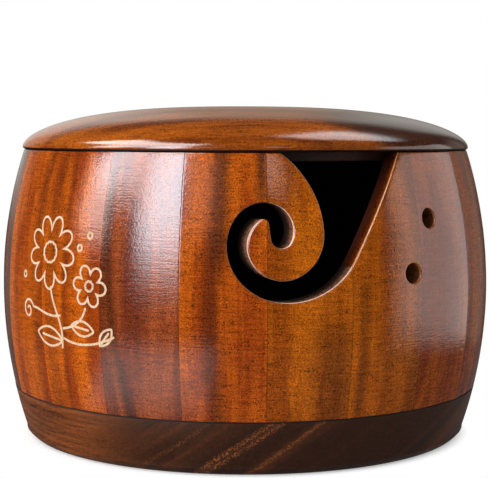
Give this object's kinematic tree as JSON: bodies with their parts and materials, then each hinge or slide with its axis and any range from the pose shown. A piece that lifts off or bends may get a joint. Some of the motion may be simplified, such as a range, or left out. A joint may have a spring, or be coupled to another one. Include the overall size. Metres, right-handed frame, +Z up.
{
  "type": "yarn dispenser box",
  "caption": "Round barrel-shaped wooden yarn bowl with a lift-off lid, a curled yarn slot cut in its front wall and drilled holes for needles.",
  "frame": {"origin": "centre of the flat resting face under the base disc", "axes": "+Z up along the barrel's axis, -Y towards the yarn slot at the front, +X towards the needle holes"},
  "size_m": [0.17, 0.17, 0.1137],
  "materials": {
    "base_walnut": "gloss varnish",
    "stave_golden": "gloss varnish",
    "stave_amber": "gloss varnish",
    "stave_russet": "gloss varnish",
    "stave_chestnut": "gloss varnish",
    "lid_wood": "gloss varnish"
  },
  "bodies": {
    "bowl": {"base": "base_walnut", "stave_01": "stave_golden", "stave_02": "stave_amber", "stave_03": "stave_russet", "stave_04": "stave_amber", "stave_05": "stave_chestnut", "stave_06": "stave_golden", "stave_07": "stave_amber", "stave_08": "stave_russet", "stave_09": "stave_golden", "stave_10": "stave_amber", "stave_11": "stave_chestnut", "stave_12": "stave_amber", "stave_13": "stave_golden", "stave_14": "stave_russet", "stave_15": "stave_chestnut", "stave_16": "stave_russet", "stave_17": "stave_amber", "stave_18": "stave_russet", "stave_19": "stave_amber", "stave_20": "stave_golden"},
    "lid": {"lid": "lid_wood"}
  },
  "joints": [
    {"name": "lid_lift", "type": "slide", "parent": "bowl", "child": "lid", "axis": [0, 0, 1], "range_m": [0, 0.12]}
  ]
}
